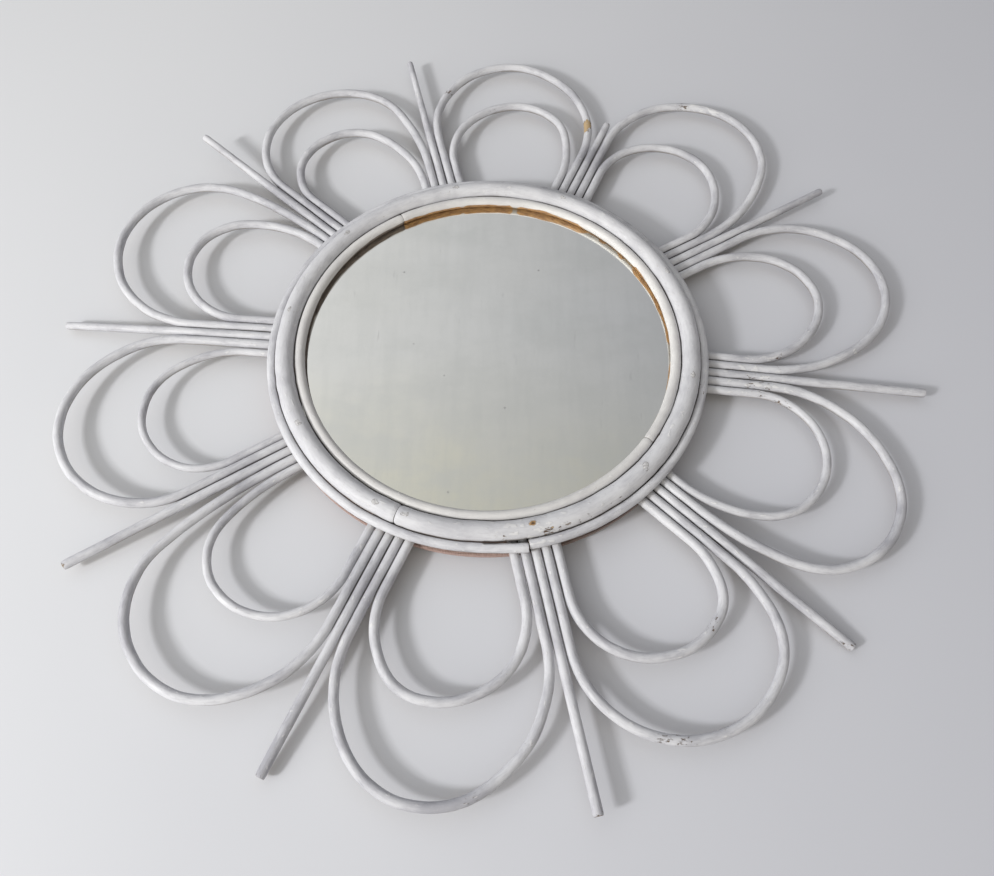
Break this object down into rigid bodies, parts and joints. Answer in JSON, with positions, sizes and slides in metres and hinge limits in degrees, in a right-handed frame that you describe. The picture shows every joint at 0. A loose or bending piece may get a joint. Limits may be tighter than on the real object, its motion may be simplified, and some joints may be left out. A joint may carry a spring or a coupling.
{
  "type": "wall mirror",
  "caption": "Round wall mirror in a flower-shaped frame of white-painted bent rattan: looped petals and straight spokes nailed under stout rings, with a swinging hanging loop on the back.",
  "frame": {"origin": "centre of the backing board's back face, under the middle of the mirror glass", "axes": "+Z out of the mirror's face, +Y towards the hanging loop (top as hung), +X to the right as seen from the front; lying on its back"},
  "size_m": [0.7344, 0.7261, 0.0329],
  "materials": {
    "painted_cane": "satin white paint on rattan cane, chipped in places",
    "painted_ring": "satin white paint on thick rattan pole",
    "painted_inner_ring": "satin white paint on top, bare cane underneath",
    "mirror": "silvered float glass, a little smudged",
    "hardboard": "raw reddish-brown hardboard",
    "card": "plain grey-brown card",
    "nail_steel": "rusty nail steel, partly painted over",
    "tack_steel": "dull blued steel",
    "hanger_steel": "zinc-plated steel",
    "bumper_rubber": "matt dark rubber"
  },
  "bodies": {
    "frame": {"back_bumpers": "bumper_rubber", "backing_board": "hardboard", "board_tacks": "tack_steel", "card_packing": "card", "hanger_rivets": "hanger_steel", "hanger_strap": "hanger_steel", "inner_petal_01": "painted_cane", "inner_petal_02": "painted_cane", "inner_petal_03": "painted_cane", "inner_petal_04": "painted_cane", "inner_petal_05": "painted_cane", "inner_petal_06": "painted_cane", "inner_petal_07": "painted_cane", "inner_petal_08": "painted_cane", "inner_petal_09": "painted_cane", "inner_petal_10": "painted_cane", "inner_ring_brads": "nail_steel", "inner_ring_left": "painted_inner_ring", "inner_ring_right": "painted_inner_ring", "main_ring": "painted_ring", "mirror_glass": "mirror", "outer_petal_01": "painted_cane", "outer_petal_02": "painted_cane", "outer_petal_03": "painted_cane", "outer_petal_04": "painted_cane", "outer_petal_05": "painted_cane", "outer_petal_06": "painted_cane", "outer_petal_07": "painted_cane", "outer_petal_08": "painted_cane", "outer_petal_09": "painted_cane", "outer_petal_10": "painted_cane", "outer_ring": "painted_ring", "outer_ring_brads": "nail_steel", "ring_nails": "nail_steel", "spoke_01": "painted_cane", "spoke_02": "painted_cane", "spoke_03": "painted_cane", "spoke_04": "painted_cane", "spoke_05": "painted_cane", "spoke_06": "painted_cane", "spoke_07": "painted_cane", "spoke_08": "painted_cane", "spoke_09": "painted_cane", "spoke_10": "painted_cane"},
    "loop": {"hanger_loop": "hanger_steel"}
  },
  "joints": [
    {"name": "loop_swing", "type": "hinge", "parent": "frame", "child": "loop", "pos_m": [0, 0.122, -0.0024], "axis": [-1, 0, 0], "range_deg": [0, 150]}
  ]
}
